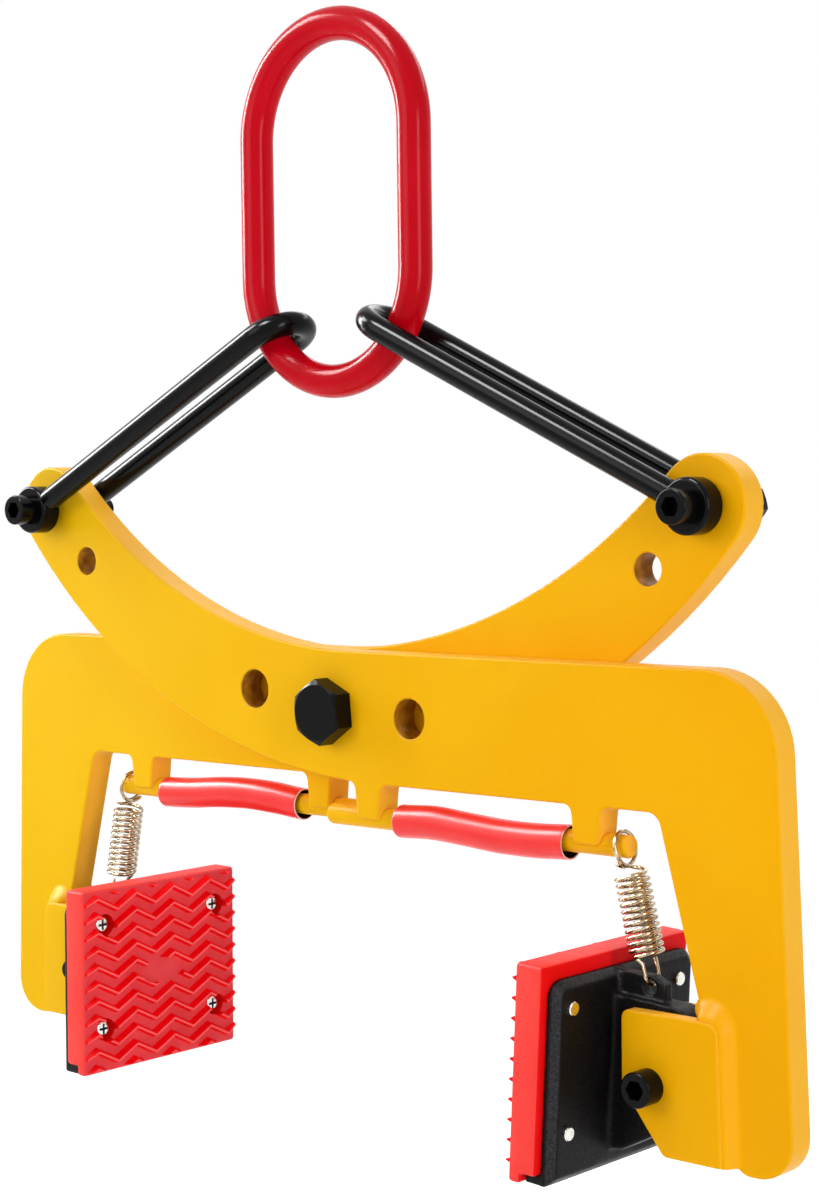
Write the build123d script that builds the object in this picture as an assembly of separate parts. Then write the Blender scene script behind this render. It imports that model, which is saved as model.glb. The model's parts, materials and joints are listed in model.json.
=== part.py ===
from build123d import *
import math
import os

os.makedirs("parts", exist_ok=True)

# Kerb lifting clamp, sizes in millimetres. Every piece is drawn with the jaw pivot at the
# origin, X to the right, Y into the depth, Z up, and then moved so that the seat of the
# crane hook in the lifting ring is the origin.

# Named clearances
RUN_CLEAR = 0.08
SEAT_CLEAR = 0.05
SIDE_CLEAR = 0.35
PLATE_GAP = 0.4
ADJUST_CLEAR = 0.5

# Jaw plate: a beam with the pivot, an arm up to the link eye and a leg down to the pad
PLATE_T = 10.0
BEAM_TOP = 20.0
BEAM_BOTTOM = -22.8
ARM_TOP_X = 8.5
ARM_LOW_X = 20.0
EYE_X = -140.4
EYE_Z = 66.5
EYE_R = 15.4
LEG_TOP_X = 171.7
LEG_TOP_R = 25.0
LEG_FOOT_X = 177.6
LEG_FOOT_Z = -124.3
LEG_FOOT_W = 19.4
LEG_FOOT_R = 12.0
LEG_HEEL_R = 6.0
LEG_ROOT_X = 131.2
LEG_ROOT_R = 5.0
PLATE_EDGE_R = 0.9
ADJUST_HOLES = ((-35.3, 5.7), (34.6, -0.7))
SPARE_HOLE = (-121.0, 47.8)
SPARE_HOLE_D = 10.0
HOLE_EDGE = 0.4

# Pivot bolt, washer and nut
PIVOT_D = 12.0
PIVOT_HEX = 19.0
PIVOT_TURN = 35.0
PIVOT_HEAD_H = 7.1
PIVOT_NUT_H = 9.0
PIVOT_WASHER_D = 24.0
PIVOT_WASHER_T = 2.5
PIVOT_TAIL = 3.0
PIVOT_TAIL_EDGE = 1.0
HEX_FACE_SHARE = 0.96
HEX_CORNER_RISE = 0.55

# Socket screws and nuts of the links and the pads
SCREW_D = 7.0
SCREW_HEAD_D = 10.6
SCREW_HEAD_H = 7.0
SCREW_SOCKET = 5.5
SCREW_SOCKET_DEPTH = 4.0
NUT_HEX = 11.0
NUT_H = 6.0
SCREW_TAIL = 3.5
SCREW_EDGE = 0.6
NUT_TURN = 12.0

# Lifting ring: two straight sides and two half circles
RING_BAR_D = 11.0
RING_HALF_W = 35.3
RING_BOTTOM = 107.9
RING_TOP = 223.6
RING_Y = -4.8
RING_WRAP = 54.5

# Links: bent round bars with an eye at each end
LINK_BAR_D = 8.0
LINK_SIDE = 1.35
LINK_SHIFT = 0.9
LINK_TIP_CLEAR = 1.8
LINK_EYE_D = 17.0
LINK_EYE_L = 8.0
LINK_EYE_EDGE = 1.2

# Stop rods under the beams, their tabs and their loose sleeves
ROD_D = 7.0
ROD_Z = -34.4
ROD_INNER_X = -4.0
ROD_OUTER_X = 118.7
ROD_END_R = 1.2
TAB_X = (16.0, 104.8)
TAB_ROOT_W = 11.5
TAB_FOOT_W = 9.0
TAB_ROOT_R = 3.0
TAB_FOOT_R = 1.5
SLEEVE_INNER_X = 27.0
SLEEVE_OUTER_X = 96.0
SLEEVE_D = 10.8
SLEEVE_BORE_D = 8.2

# Fork cheeks on the leg ends, with the weld along their outer and upper edges
CHEEK_T = 5.0
CHEEK_INNER_X = 121.3
CHEEK_TOP = -80.6
CHEEK_BOTTOM = -122.2
CHEEK_CORNER_R = 3.0
CHEEK_SLANT_X = 136.1
CHEEK_SLANT_Z = -103.3
WELD_W = 5.0
WELD_H = 4.4
WELD_TOP = -73.5
WELD_TOP_X = 159.6
WELD_FOOT_X = 161.2
WELD_START_X = 143.5
WELD_R = 9.0

# Pads: rubber block with zig-zag ribs, screwed on a cast backing that swings on the pad bolt.
# They are drawn upright, and each then leans on its bolt by its own angle in degrees.
PAD_BOLT_X = 131.3
PAD_BOLT_Z = -102.0
PAD_FACE_X = 99.75
PAD_T = 9.7
PAD_W = 73.0
PAD_SHIFT = 1.8
PAD_TOP = -67.1
PAD_BOTTOM = -132.5
PAD_NOTCH_X = 5.5
PAD_NOTCH_H = 3.2
PAD_EDGE_R = 0.8
RIB_H = 1.5
RIB_W = 2.0
RIB_FIRST = 4.75
RIB_PITCH = 6.05
RIB_PERIODS = 4
RIB_SWING = 4.6
BARE_W = 22.0
BARE_H = 9.0
BACK_T = 4.0
BACK_INSET = 2.45
BACK_SHIFT = 0.55
BACK_TOP_INSET = 4.5
BACK_CORNER_R = 5.0
BACK_BEVEL = 2.4
TONGUE_STEP = 7.1
TONGUE_END_X = 140.5
TONGUE_TOP_R = 6.0
TONGUE_END_R = 3.0
TONGUE_FOOT = -126.0
BOSS_R = 12.0
LUG_T = 4.0
LUG_TOP = -71.9
LUG_END_X = 130.0
LUG_END_R = 1.0
LUG_SLOPE_X = 4.2
LUG_SLOPE_Z = 2.0
LUG_HOLE_D = 4.6
LUG_HOLE_X = 124.4
LUG_HOLE_WALL = 1.2
FRONT_LEAN = 3.5
REAR_LEAN = -0.85

# Cross-head screws of the rubber
PAD_SCREW_Y = 26.5
PAD_SCREW_Z = (-79.9, -117.2)
PAD_SCREW_D = 4.0
PAD_SCREW_HEAD_D = 6.4
PAD_SCREW_HEAD_H = 2.4
PAD_SCREW_CROSS = 0.9
PAD_RECESS_D = 8.0
PAD_RECESS_DEPTH = 3.6
PAD_SCREW_TIP = 2.8
PAD_SCREW_TIP_EDGE = 1.0
PAD_SCREW_DOME_SHARE = 0.6
PAD_SCREW_CROSS_REACH = 0.3
PAD_SCREW_CROSS_DEPTH = 0.7

# Tension springs
WIRE_D = 1.3
COIL_R = 4.8
COIL_TURNS = 11
NECK_TOP = 2.2
NECK_LOW = 2.5
HOOK_TOP_R = 4.7
HOOK_LOW_R = 3.9
HOOK_SWEEP = 300.0
SPRING_TOP_X = 115.2
HOOK_CLEAR = 0.3

# Values that follow from the sizes above
PLATE_Y = -(PLATE_T + PLATE_GAP) / 2
PLATE_FRONT = PLATE_Y - PLATE_T / 2
PLATE_BACK = PLATE_Y + PLATE_T / 2
PIVOT_HOLE_D = PIVOT_D + 2 * RUN_CLEAR
ADJUST_HOLE_D = PIVOT_D + 2 * ADJUST_CLEAR
SCREW_HOLE_D = SCREW_D + 2 * SEAT_CLEAR
SWING_HOLE_D = SCREW_D + 2 * RUN_CLEAR
LINK_Y = PLATE_Y - LINK_SHIFT
LINK_LEG = PLATE_T / 2 + LINK_SIDE + LINK_BAR_D / 2
LINK_FACE = LINK_LEG + LINK_EYE_L / 2
PAD_Y = PLATE_Y + PAD_SHIFT
PAD_BACK_X = PAD_FACE_X + PAD_T
BACK_X = PAD_BACK_X + BACK_T
RING_CENTRE_Z = RING_BOTTOM + RING_HALF_W
HOOK_SEAT_Z = RING_TOP - RING_BAR_D / 2
SPRING_TOP_Z = ROD_Z + ROD_D / 2 + HOOK_CLEAR + WIRE_D / 2
PAD_MID_Z = (PAD_TOP + PAD_BOTTOM) / 2
LUG_HOLE_Z = LUG_TOP - LUG_HOLE_WALL - LUG_HOLE_D / 2
LUG_SEAT_Z = LUG_HOLE_Z + LUG_HOLE_D / 2 - HOOK_CLEAR - WIRE_D
BACK_Y = PAD_Y + BACK_SHIFT
TONGUE_TOP = LUG_TOP - TONGUE_STEP


def slab(face, y_back, thickness):
    """Prism of an outline drawn in X and Z, from y_back towards the front."""
    plane = Plane(origin=(0, y_back, 0), x_dir=(1, 0, 0), z_dir=(0, -1, 0))
    return extrude(plane * face, amount=thickness)


def pin_y(diameter, y0, y1, x, z):
    return Pos(x, (y0 + y1) / 2, z) * Rot(90, 0, 0) * Cylinder(diameter / 2, abs(y1 - y0))


def pin_x(diameter, x0, x1, y, z):
    return Pos((x0 + x1) / 2, y, z) * Rot(0, 90, 0) * Cylinder(diameter / 2, abs(x1 - x0))


def block(x0, x1, y0, y1, z0, z1):
    return Pos((x0 + x1) / 2, (y0 + y1) / 2, (z0 + z1) / 2) * Box(x1 - x0, y1 - y0, z1 - z0)


def at_y(edges, y):
    return [e for e in edges if abs(e.center().Y - y) < 1e-3]


def at_x(edges, x):
    return [e for e in edges if abs(e.center().X - x) < 1e-3]


def outline(points, radii):
    return make_face(FilletPolyline(*points, radius=radii, close=True))


def arm_arc(x_start, z_start, rise_sign):
    """Arc from the beam's edge to the eye's round end: its far point, middle point and way to the eye."""
    run = x_start - EYE_X
    rise = EYE_Z - z_start
    radius = (run**2 + rise**2 - EYE_R**2) / (2 * (rise + rise_sign * EYE_R))
    eye = Vector(EYE_X, EYE_Z)
    centre = Vector(x_start, z_start + radius)
    outward = (centre - eye).normalized() * rise_sign
    middle = centre - ((centre - eye).normalized() + Vector(0, 1)).normalized() * radius
    return eye + outward * EYE_R, middle, outward


def tab_outline(x):
    """Tab that carries the stop rod, with its sides carried on into the beam."""
    lean = (TAB_ROOT_W - TAB_FOOT_W) / 2 / (BEAM_BOTTOM - ROD_Z)
    half = TAB_ROOT_W / 2 + TAB_ROOT_R * lean
    top = BEAM_BOTTOM + TAB_ROOT_R
    foot = TAB_FOOT_W / 2
    points = [(x - half, top), (x + half, top), (x + foot, ROD_Z), (x - foot, ROD_Z)]
    return outline(points, [0, 0, TAB_FOOT_R, TAB_FOOT_R])


def plate_outline():
    start = (ARM_TOP_X, BEAM_TOP)
    end = (ARM_LOW_X, BEAM_BOTTOM)
    top_end, top_mid, to_top = arm_arc(*start, 1)
    low_end, low_mid, to_low = arm_arc(*end, -1)
    across = to_top - to_low
    tip = Vector(EYE_X, EYE_Z) + Vector(-across.Y, across.X).normalized() * EYE_R
    points = [start, (LEG_TOP_X, BEAM_TOP), (LEG_FOOT_X, LEG_FOOT_Z)]
    points += [(LEG_FOOT_X - LEG_FOOT_W, LEG_FOOT_Z), (LEG_ROOT_X, BEAM_BOTTOM), end]
    curve = FilletPolyline(*points, radius=[LEG_TOP_R, LEG_FOOT_R, LEG_HEEL_R, LEG_ROOT_R])
    curve += ThreePointArc(end, low_mid, low_end)
    curve += ThreePointArc(low_end, tip, top_end)
    curve += ThreePointArc(top_end, top_mid, start)
    face = make_face(curve)
    for x in TAB_X:
        face += tab_outline(x)
    reach = TAB_ROOT_W / 2 + SIDE_CLEAR
    roots = [v for v in face.vertices() if abs(v.Y - BEAM_BOTTOM) < TAB_ROOT_R]
    roots = [v for v in roots if min(abs(v.X - x) for x in TAB_X) < reach]
    return fillet(roots, TAB_ROOT_R)


def jaw_plate():
    plate = slab(plate_outline(), PLATE_BACK, PLATE_T)
    rims = at_y(plate.edges(), PLATE_FRONT) + at_y(plate.edges(), PLATE_BACK)
    plate = fillet(rims, PLATE_EDGE_R)
    holes = [(0, 0, PIVOT_HOLE_D), (EYE_X, EYE_Z, SWING_HOLE_D), (*SPARE_HOLE, SPARE_HOLE_D)]
    holes += [(x, z, ADJUST_HOLE_D) for x, z in ADJUST_HOLES]
    for x, z, diameter in holes:
        plate -= pin_y(diameter, PLATE_FRONT, PLATE_BACK, x, z)
    rims = at_y(plate.edges(), PLATE_FRONT) + at_y(plate.edges(), PLATE_BACK)
    plate = chamfer([e for e in rims if e.is_closed], HOLE_EDGE)
    return plate - pin_x(ROD_D + 2 * SEAT_CLEAR, ROD_INNER_X, ROD_OUTER_X, PLATE_Y, ROD_Z)


def stop_rod():
    rod = pin_x(ROD_D, ROD_INNER_X, ROD_OUTER_X, PLATE_Y, ROD_Z)
    return fillet(rod.edges().filter_by(GeomType.CIRCLE), ROD_END_R)


def sleeve():
    tube = pin_x(SLEEVE_D, SLEEVE_INNER_X, SLEEVE_OUTER_X, PLATE_Y, ROD_Z)
    return tube - pin_x(SLEEVE_BORE_D, SLEEVE_INNER_X, SLEEVE_OUTER_X, PLATE_Y, ROD_Z)


def cheek(y_leg, y_outer):
    """Cheek with its weld; the plate face is at y_leg and the outer face at y_outer."""
    points = [(CHEEK_INNER_X, CHEEK_TOP), (WELD_START_X, CHEEK_TOP), (WELD_START_X, WELD_TOP)]
    points += [(WELD_TOP_X, WELD_TOP), (WELD_FOOT_X, CHEEK_BOTTOM)]
    points += [(CHEEK_SLANT_X, CHEEK_BOTTOM), (CHEEK_INNER_X, CHEEK_SLANT_Z)]
    radii = [CHEEK_CORNER_R, 0, 0, WELD_R, 0, CHEEK_CORNER_R, CHEEK_CORNER_R]
    solid = slab(outline(points, radii), max(y_leg, y_outer), CHEEK_T)
    toe = [e for e in at_y(solid.edges(), y_outer) if e.center().X > WELD_START_X + 1]
    toe = [e for e in toe if e.center().Z > CHEEK_BOTTOM + 1]
    face = solid.faces().sort_by(Axis.Y)[0 if y_outer < y_leg else -1]
    solid = chamfer(toe, WELD_W, WELD_H, reference=face)
    return solid - pin_y(SCREW_HOLE_D, y_leg, y_outer, PAD_BOLT_X, PAD_BOLT_Z)


def hexagon(across_flats, turn, x, z):
    return Pos(x, z) * Rot(0, 0, turn) * RegularPolygon(across_flats / 2, 6, major_radius=False)


def hex_block(across_flats, turn, x, z, y_seat, y_end):
    """Hexagon from its seat to its free end, with turned corners at the free end."""
    prism = slab(hexagon(across_flats, turn, x, z), max(y_seat, y_end), abs(y_end - y_seat))
    corner_d = across_flats * 2 / math.sqrt(3)
    drum = pin_y(corner_d, y_seat, y_end, x, z)
    rim = at_y(drum.edges(), y_end)
    face = drum.faces().sort_by(Axis.Y)[0 if y_end < y_seat else -1]
    side = (corner_d - across_flats * HEX_FACE_SHARE) / 2
    return prism & chamfer(rim, side, side * HEX_CORNER_RISE, reference=face)


def cap_screw(x, z, y_seat, y_tail):
    way = 1 if y_tail > y_seat else -1
    y_top = y_seat - way * SCREW_HEAD_H
    head = pin_y(SCREW_HEAD_D, y_seat, y_top, x, z)
    head = fillet(at_y(head.edges(), y_top), SCREW_EDGE)
    depth = y_top + way * SCREW_SOCKET_DEPTH
    head -= slab(hexagon(SCREW_SOCKET, 0, x, z), max(y_top, depth), SCREW_SOCKET_DEPTH)
    shank = pin_y(SCREW_D, y_seat, y_tail, x, z)
    shank = chamfer(at_y(shank.edges(), y_tail), SCREW_EDGE)
    return head + shank


def hex_nut(x, z, y_seat, y_end):
    nut = hex_block(NUT_HEX, NUT_TURN, x, z, y_seat, y_end)
    return nut - pin_y(SCREW_D + 2 * SEAT_CLEAR, y_seat, y_end, x, z)


def link(ring_y):
    """Bent bar from the plate's eye round the ring bar, which crosses it at ring_y."""
    angle = math.radians(RING_WRAP)
    ring_x = -RING_HALF_W * math.sin(angle)
    ring = Vector(ring_x, ring_y, RING_CENTRE_Z - RING_HALF_W * math.cos(angle))
    eye = Vector(EYE_X, LINK_Y, EYE_Z)
    along = (ring - eye).normalized()
    side = (Vector(0, 1, 0) - along * along.Y).normalized()
    half = LINK_LEG * side.Y
    tip_reach = RING_BAR_D / 2 + LINK_TIP_CLEAR + LINK_BAR_D / 2
    bend = ring + along * (tip_reach - half)
    front_end = bend - side * half
    back_end = bend + side * half
    path = Line(eye - Vector(0, LINK_LEG, 0), front_end)
    path += ThreePointArc(front_end, bend + along * half, back_end)
    path += Line(back_end, eye + Vector(0, LINK_LEG, 0))
    wire = Wire(path.edges())
    bar = sweep(Plane(origin=wire @ 0, z_dir=wire % 0) * Circle(LINK_BAR_D / 2), path=wire)
    seat_d = LINK_EYE_D - 2 * LINK_EYE_EDGE
    for way in (-1, 1):
        y_in = LINK_Y + way * (LINK_FACE - LINK_EYE_L)
        y_out = LINK_Y + way * LINK_FACE
        boss = pin_y(LINK_EYE_D, y_in, y_out, EYE_X, EYE_Z)
        rims = at_y(boss.edges(), y_in) + at_y(boss.edges(), y_out)
        bar += fillet(rims, LINK_EYE_EDGE)
        bar -= pin_y(seat_d, y_out, y_out + way * LINK_BAR_D, EYE_X, EYE_Z)
    return bar - pin_y(SCREW_HOLE_D, LINK_Y - LINK_FACE, LINK_Y + LINK_FACE, EYE_X, EYE_Z)


def lifting_ring():
    top = RING_TOP - RING_HALF_W
    low = RING_CENTRE_Z
    half = RING_HALF_W
    path = Line((half, 0, low), (half, 0, top))
    path += ThreePointArc((half, 0, top), (0, 0, RING_TOP), (-half, 0, top))
    path += Line((-half, 0, top), (-half, 0, low))
    path += ThreePointArc((-half, 0, low), (0, 0, RING_BOTTOM), (half, 0, low))
    wire = Wire(path.edges())
    bar = sweep(Plane(origin=wire @ 0, z_dir=wire % 0) * Circle(RING_BAR_D / 2), path=wire)
    return Pos(0, RING_Y, 0) * bar


def rib(z_mid):
    """One zig-zag rib on the grip face: half a swing at both ends of the row, cut at the pad's edges."""
    quarters = 2 * RIB_PERIODS
    step = PAD_W / 2 / quarters
    upper = []
    lower = []
    for i in [-quarters, *range(1 - quarters, quarters, 2), quarters]:
        z = z_mid + math.sin(i * math.pi / 2) * RIB_SWING / 2
        upper.append((i * step, z + RIB_W / 2))
        lower.append((i * step, z - RIB_W / 2))
    pad_h = PAD_TOP - PAD_BOTTOM
    edge = 2 * PAD_EDGE_R
    face = make_face(Polyline(*upper, *reversed(lower), close=True))
    face &= Pos(0, PAD_MID_Z) * Rectangle(PAD_W - edge, pad_h - edge)
    face -= Pos(0, PAD_MID_Z) * SlotOverall(BARE_W, BARE_H)
    plane = Plane(origin=(PAD_FACE_X, PAD_Y, 0), x_dir=(0, -1, 0), z_dir=(-1, 0, 0))
    return extrude(plane * face, amount=RIB_H)


def rib_levels():
    """Mid levels of the rows that reach onto the grip face, spaced from the first whole one."""
    reach = (RIB_SWING + RIB_W) / 2 - PAD_EDGE_R
    first = PAD_TOP - RIB_FIRST
    above = math.ceil((RIB_FIRST + reach) / RIB_PITCH) - 1
    below = math.ceil((first - PAD_BOTTOM + reach) / RIB_PITCH) - 1
    return [first - i * RIB_PITCH for i in range(-above, below + 1)]


def screw_places():
    return [(PAD_Y + way * PAD_SCREW_Y, z) for way in (-1, 1) for z in PAD_SCREW_Z]


def rubber_pad():
    y0 = PAD_Y - PAD_W / 2
    y1 = PAD_Y + PAD_W / 2
    pad = block(PAD_FACE_X, PAD_BACK_X, y0, y1, PAD_BOTTOM, PAD_TOP)
    pad = fillet(at_x(pad.edges(), PAD_FACE_X), PAD_EDGE_R)
    pad -= block(PAD_BACK_X - PAD_NOTCH_X, PAD_BACK_X, y0, y1, PAD_BOTTOM, PAD_BOTTOM + PAD_NOTCH_H)
    for z in rib_levels():
        pad += rib(z)
    for y, z in screw_places():
        pad -= pin_x(PAD_RECESS_D, PAD_FACE_X - RIB_H, PAD_FACE_X + PAD_RECESS_DEPTH, y, z)
        pad -= pin_x(PAD_SCREW_D + 2 * SEAT_CLEAR, PAD_FACE_X, PAD_BACK_X, y, z)
    return pad


def backing():
    half = PAD_W / 2 - BACK_INSET
    y0 = BACK_Y - half
    y1 = BACK_Y + half
    top = PAD_TOP - BACK_TOP_INSET
    plate = block(PAD_BACK_X, BACK_X, y0, y1, PAD_BOTTOM, top)
    corners = [e for e in plate.edges().filter_by(Axis.X) if e.center().Z > PAD_BOTTOM + 1]
    plate = fillet(corners, BACK_CORNER_R)
    plate = chamfer(at_x(plate.edges(), BACK_X), BACK_BEVEL)
    plate += block(PAD_BACK_X - PAD_NOTCH_X, PAD_BACK_X, y0, y1, PAD_BOTTOM, PAD_BOTTOM + PAD_NOTCH_H)
    root = PAD_BACK_X + BACK_T / 2
    points = [(root, TONGUE_TOP), (TONGUE_END_X, TONGUE_TOP), (PAD_BOLT_X + BOSS_R, PAD_BOLT_Z)]
    points += [(PAD_BOLT_X + BOSS_R / 2, PAD_BOLT_Z - BOSS_R), (BACK_X + BACK_T, TONGUE_FOOT)]
    points += [(root, TONGUE_FOOT)]
    thick = PLATE_T - 2 * SIDE_CLEAR
    tongue = outline(points, [0, TONGUE_TOP_R, TONGUE_END_R, TONGUE_END_R, TONGUE_END_R, 0])
    plate += slab(tongue, PLATE_Y + thick / 2, thick)
    points = [(root, TONGUE_TOP - LUG_T), (root, LUG_TOP), (LUG_END_X - LUG_SLOPE_X, LUG_TOP)]
    points += [(LUG_END_X, LUG_TOP - LUG_SLOPE_Z), (LUG_END_X, TONGUE_TOP - LUG_T)]
    lug = outline(points, [0, 0, LUG_END_R, LUG_END_R, 0])
    plate += slab(lug, PLATE_Y + LUG_T / 2, LUG_T)
    plate -= pin_y(LUG_HOLE_D, PLATE_Y - LUG_T, PLATE_Y + LUG_T, LUG_HOLE_X, LUG_HOLE_Z)
    plate -= pin_y(SWING_HOLE_D, PLATE_Y - thick, PLATE_Y + thick, PAD_BOLT_X, PAD_BOLT_Z)
    for y, z in screw_places():
        plate -= pin_x(PAD_SCREW_D + 2 * SEAT_CLEAR, PAD_BACK_X, BACK_X, y, z)
    return plate


def pad_screw(y, z):
    seat = PAD_FACE_X + PAD_RECESS_DEPTH
    top = seat - PAD_SCREW_HEAD_H
    head = pin_x(PAD_SCREW_HEAD_D, top, seat, y, z)
    head = fillet(at_x(head.edges(), top), PAD_SCREW_HEAD_H * PAD_SCREW_DOME_SHARE)
    arm = PAD_SCREW_HEAD_D * PAD_SCREW_CROSS_REACH
    half = PAD_SCREW_CROSS / 2
    deep = top + PAD_SCREW_HEAD_H * PAD_SCREW_CROSS_DEPTH
    head -= block(top, deep, y - arm, y + arm, z - half, z + half)
    head -= block(top, deep, y - half, y + half, z - arm, z + arm)
    shank = pin_x(PAD_SCREW_D, seat, BACK_X + PAD_SCREW_TIP, y, z)
    return head + chamfer(at_x(shank.edges(), BACK_X + PAD_SCREW_TIP), PAD_SCREW_TIP_EDGE)


def pad_screws():
    return Compound(children=[pad_screw(y, z) for y, z in screw_places()])


def leaning(piece, lean):
    """Pad piece swung on the pad bolt from its upright drawing."""
    bolt = Pos(PAD_BOLT_X, 0, PAD_BOLT_Z)
    return bolt * Rot(0, lean, 0) * bolt.inverse() * piece


def spring_nodes(length):
    """Points and directions of the wire from the end of the upper hook to that of the lower one."""
    nodes = []
    hook_z = -HOOK_TOP_R
    quarters = 4
    for i in range(quarters + 1):
        a = math.radians(-90 - HOOK_SWEEP * (1 - i / quarters))
        y = HOOK_TOP_R * math.cos(a)
        z = hook_z + HOOK_TOP_R * math.sin(a)
        nodes.append((Vector(0, y, z), Vector(0, -math.sin(a), math.cos(a))))
    top = -2 * HOOK_TOP_R - NECK_TOP
    low = -length + 2 * HOOK_LOW_R + NECK_LOW
    fall = (top - low) / COIL_TURNS / (2 * math.pi * COIL_R)
    half = COIL_R / 2
    neck_fall = NECK_TOP / (math.pi * half)
    nodes.append((Vector(half, half, top + NECK_TOP / 2), Vector(1, 0, -neck_fall)))
    for i in range(2 * COIL_TURNS + 1):
        side = -1 if i % 2 else 1
        z = top + (low - top) * i / (2 * COIL_TURNS)
        nodes.append((Vector(side * COIL_R, 0, z), Vector(0, -side, -fall)))
    neck_fall = NECK_LOW / (math.pi * half)
    nodes.append((Vector(half, -half, low - NECK_LOW / 2), Vector(-1, 0, -neck_fall)))
    for i in range(quarters + 1):
        a = math.radians(90 - HOOK_SWEEP * i / quarters)
        y = HOOK_LOW_R * math.cos(a)
        z = -length + HOOK_LOW_R + HOOK_LOW_R * math.sin(a)
        nodes.append((Vector(0, y, z), Vector(0, math.sin(a), -math.cos(a))))
    return [(p, t.normalized()) for p, t in nodes]


def biarc(p0, t0, p1, t1):
    """Two arcs from p0 to p1 that share a direction where they meet."""
    gap = p1 - p0
    both = t0 + t1
    bend = 2 * (1 - t0.dot(t1))
    reach = gap.dot(both)
    if bend < 1e-6:
        d = gap.dot(gap) / (4 * gap.dot(t1))
    else:
        d = (-reach + math.sqrt(reach**2 + bend * gap.dot(gap))) / bend
    meet = (p0 + p1 + (t0 - t1) * d) * 0.5
    first = TangentArc(p0, meet, tangent=t0)
    second = TangentArc(meet, p1, tangent=first % 1)
    return [first, second]


def self_gap(wire):
    """Least gap of a spring's wire to itself, on points taken along its path."""
    step = WIRE_D / 3
    count = int(wire.length / step)
    points = [wire @ (i / count) for i in range(count + 1)]
    apart = int(4 * WIRE_D / step)
    least = math.inf
    for i in range(len(points)):
        for j in range(i + apart, len(points)):
            least = min(least, (points[i] - points[j]).length)
    return least - WIRE_D


def spring(pad_lean):
    """Spring from the stop rod to the lug of a pad that leans by the angle."""
    bolt = Vector(PAD_BOLT_X, 0, PAD_BOLT_Z)
    seat = bolt + (Vector(LUG_HOLE_X, 0, LUG_SEAT_Z) - bolt).rotate(Axis.Y, pad_lean)
    lean_x = seat.X - SPRING_TOP_X
    drop = SPRING_TOP_Z - seat.Z
    length = math.hypot(lean_x, drop)
    nodes = spring_nodes(length)
    first, last = nodes[0], nodes[-1]
    edges = [Line(first[0] - first[1] * WIRE_D, first[0])]
    for (p0, t0), (p1, t1) in zip(nodes, nodes[1:]):
        edges += biarc(p0, t0, p1, t1)
    edges.append(Line(last[0], last[0] + last[1] * WIRE_D))
    wire = Wire(edges)
    print("spring least gap to itself, mm:", round(self_gap(wire), 3))
    section = Plane(origin=wire @ 0, z_dir=wire % 0) * Circle(WIRE_D / 2)
    tube = sweep(section, path=wire, clean=False)
    lean = math.degrees(math.atan2(lean_x, drop))
    return Pos(SPRING_TOP_X, PLATE_Y, SPRING_TOP_Z) * Rot(0, -lean, 0) * tube


def pivot_bolt():
    y_tail = -PLATE_FRONT + PIVOT_WASHER_T + PIVOT_NUT_H + PIVOT_TAIL
    y_top = PLATE_FRONT - PIVOT_HEAD_H
    head = hex_block(PIVOT_HEX, PIVOT_TURN, 0, 0, PLATE_FRONT, y_top)
    shank = pin_y(PIVOT_D, PLATE_FRONT, y_tail, 0, 0)
    return head + chamfer(at_y(shank.edges(), y_tail), PIVOT_TAIL_EDGE)


def pivot_washer():
    y_seat = -PLATE_FRONT
    ring = pin_y(PIVOT_WASHER_D, y_seat, y_seat + PIVOT_WASHER_T, 0, 0)
    return ring - pin_y(PIVOT_D + 2 * SEAT_CLEAR, y_seat, y_seat + PIVOT_WASHER_T, 0, 0)


def pivot_nut():
    y_seat = -PLATE_FRONT + PIVOT_WASHER_T
    nut = hex_block(PIVOT_HEX, PIVOT_TURN, 0, 0, y_seat, y_seat + PIVOT_NUT_H)
    return nut - pin_y(PIVOT_D + 2 * SEAT_CLEAR, y_seat, y_seat + PIVOT_NUT_H, 0, 0)


front_face = PLATE_FRONT - CHEEK_T
back_face = PLATE_BACK + CHEEK_T
eye_front = LINK_Y - LINK_FACE
eye_back = LINK_Y + LINK_FACE

# Pieces of one jaw, drawn for the front jaw; the rear jaw is the same turned half round Z
jaw = {
    "jaw_plate": jaw_plate(),
    "stop_rod": stop_rod(),
    "stop_sleeve": sleeve(),
    "cheek_outer": cheek(PLATE_FRONT, front_face),
    "cheek_inner": cheek(PLATE_BACK, back_face),
    "pad_bolt": cap_screw(PAD_BOLT_X, PAD_BOLT_Z, front_face, back_face + NUT_H + SCREW_TAIL),
    "pad_bolt_nut": hex_nut(PAD_BOLT_X, PAD_BOLT_Z, back_face, back_face + NUT_H),
}
pad = {"pad_backing": backing(), "pad_rubber": rubber_pad(), "pad_screws": pad_screws()}

nodes = {"lifting_ring": lifting_ring()}
nodes["pivot_bolt"] = pivot_bolt()
nodes["pivot_washer"] = pivot_washer()
nodes["pivot_nut"] = pivot_nut()
for side, turn, lean in (("front", 0, FRONT_LEAN), ("rear", 180, REAR_LEAN)):
    for name, piece in jaw.items():
        nodes[f"{side}_{name}"] = Rot(0, 0, turn) * piece
    for name, piece in pad.items():
        nodes[f"{side}_{name}"] = Rot(0, 0, turn) * leaning(piece, lean)
    nodes[f"{side}_pad_spring"] = Rot(0, 0, turn) * spring(lean)

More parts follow.
